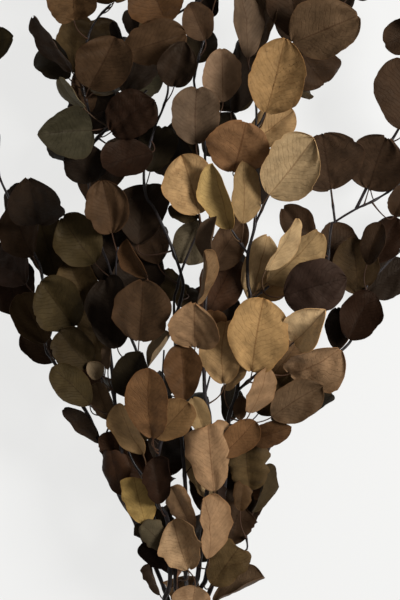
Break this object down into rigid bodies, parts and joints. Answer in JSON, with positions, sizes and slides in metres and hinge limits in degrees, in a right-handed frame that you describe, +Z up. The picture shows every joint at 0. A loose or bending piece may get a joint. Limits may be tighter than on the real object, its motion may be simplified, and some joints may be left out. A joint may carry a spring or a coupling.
{
  "type": "eucalyptus branch",
  "caption": "Cut, dried eucalyptus branch lying down: a woody foot forks into leafy limbs with broad, roundish, stalked leaves in brown, tan and olive.",
  "frame": {"origin": "on the surface that the branch lies on, under the middle of its box", "axes": "+Y from the cut end along the branch to its tips, +Z up from the surface, +X to the right seen from above with the tips away"},
  "size_m": [0.5132, 0.7584, 0.1884],
  "materials": {
    "bark": "satin, dark purple-brown, with pale cut wood at the end",
    "dry_leaf": "satin dried leaf in tan, brown, olive and near-black tints, with fine veins"
  },
  "bodies": {
    "root": {"woody_stem": "bark", "limb_far_left": "dry_leaf", "limb_left": "dry_leaf", "limb_left_middle": "dry_leaf", "limb_middle": "dry_leaf", "limb_centre": "dry_leaf", "limb_right_middle": "dry_leaf", "limb_right": "dry_leaf"}
  },
  "joints": []
}
